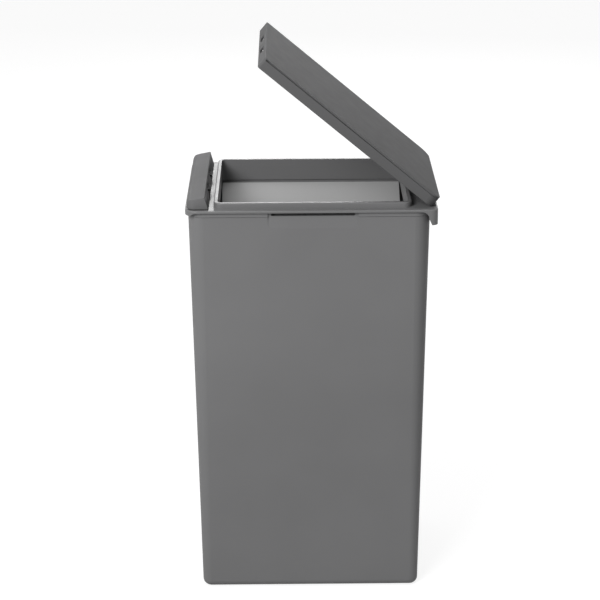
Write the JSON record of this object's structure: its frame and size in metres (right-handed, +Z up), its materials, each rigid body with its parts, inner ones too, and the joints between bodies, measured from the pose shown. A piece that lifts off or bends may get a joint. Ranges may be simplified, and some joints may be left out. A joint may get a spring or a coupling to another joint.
{
  "type": "touch top trash can",
  "caption": "Tall tapered kitchen bin with a lift-off top frame, a sprung hinged lid and a touch bar at the front that frees the lid.",
  "frame": {"origin": "on the floor, in the middle of the bin's base, under the middle of the top frame", "axes": "+X from the touch bar to the lid's hinge, +Y across the bin, +Z up"},
  "size_m": [0.3328, 0.236, 0.7556],
  "materials": {
    "body_plastic": "moulded, fine grain",
    "frame_plastic": "moulded, satin",
    "bar_plastic": "moulded, fine grain",
    "lid_plastic": "moulded, fine grain",
    "keeper_plastic": "moulded, satin",
    "soft_rubber": "matt",
    "pin_steel": "drawn wire",
    "spring_steel": "spring wire and strip",
    "latch_steel": "blackened strip",
    "screw_steel": "zinc plated"
  },
  "bodies": {
    "bin": {"bin_body": "body_plastic"},
    "frame": {"top_frame": "frame_plastic", "bar_pivot_pin_left": "pin_steel", "bar_pivot_pin_right": "pin_steel", "bar_return_spring_left": "spring_steel", "bar_return_spring_right": "spring_steel", "lid_spring_left": "spring_steel", "lid_spring_right": "spring_steel"},
    "bar": {"touch_bar": "bar_plastic", "latch_plate": "latch_steel"},
    "lid": {"lid_base": "lid_plastic", "lid_cover": "lid_plastic", "lid_cover_screws": "screw_steel", "lid_keeper_left": "keeper_plastic", "lid_keeper_right": "keeper_plastic", "lid_keeper_screws": "screw_steel", "lid_bumper_left": "soft_rubber", "lid_bumper_right": "soft_rubber", "hinge_pin_left": "pin_steel", "hinge_pin_right": "pin_steel"}
  },
  "joints": [
    {"name": "frame_lift", "type": "slide", "parent": "bin", "child": "frame", "axis": [0, 0, 1], "range_m": [0, 0.1]},
    {"name": "bar_press", "type": "hinge", "parent": "frame", "child": "bar", "pos_m": [-0.138, 0, 0.552], "axis": [0, 1, 0], "range_deg": [-6.5, 0], "stiffness_Nm_per_rad": 0.4, "springref_deg": 17.19, "deforming": ["bar_return_spring_left", "bar_return_spring_right"]},
    {"name": "lid_hinge", "type": "hinge", "parent": "frame", "child": "lid", "pos_m": [0.159, 0, 0.5624], "axis": [0, 1, 0], "range_deg": [-40, 40], "stiffness_Nm_per_rad": 0.76, "springref_deg": 27.39, "deforming": ["lid_spring_left", "lid_spring_right"]}
  ]
}
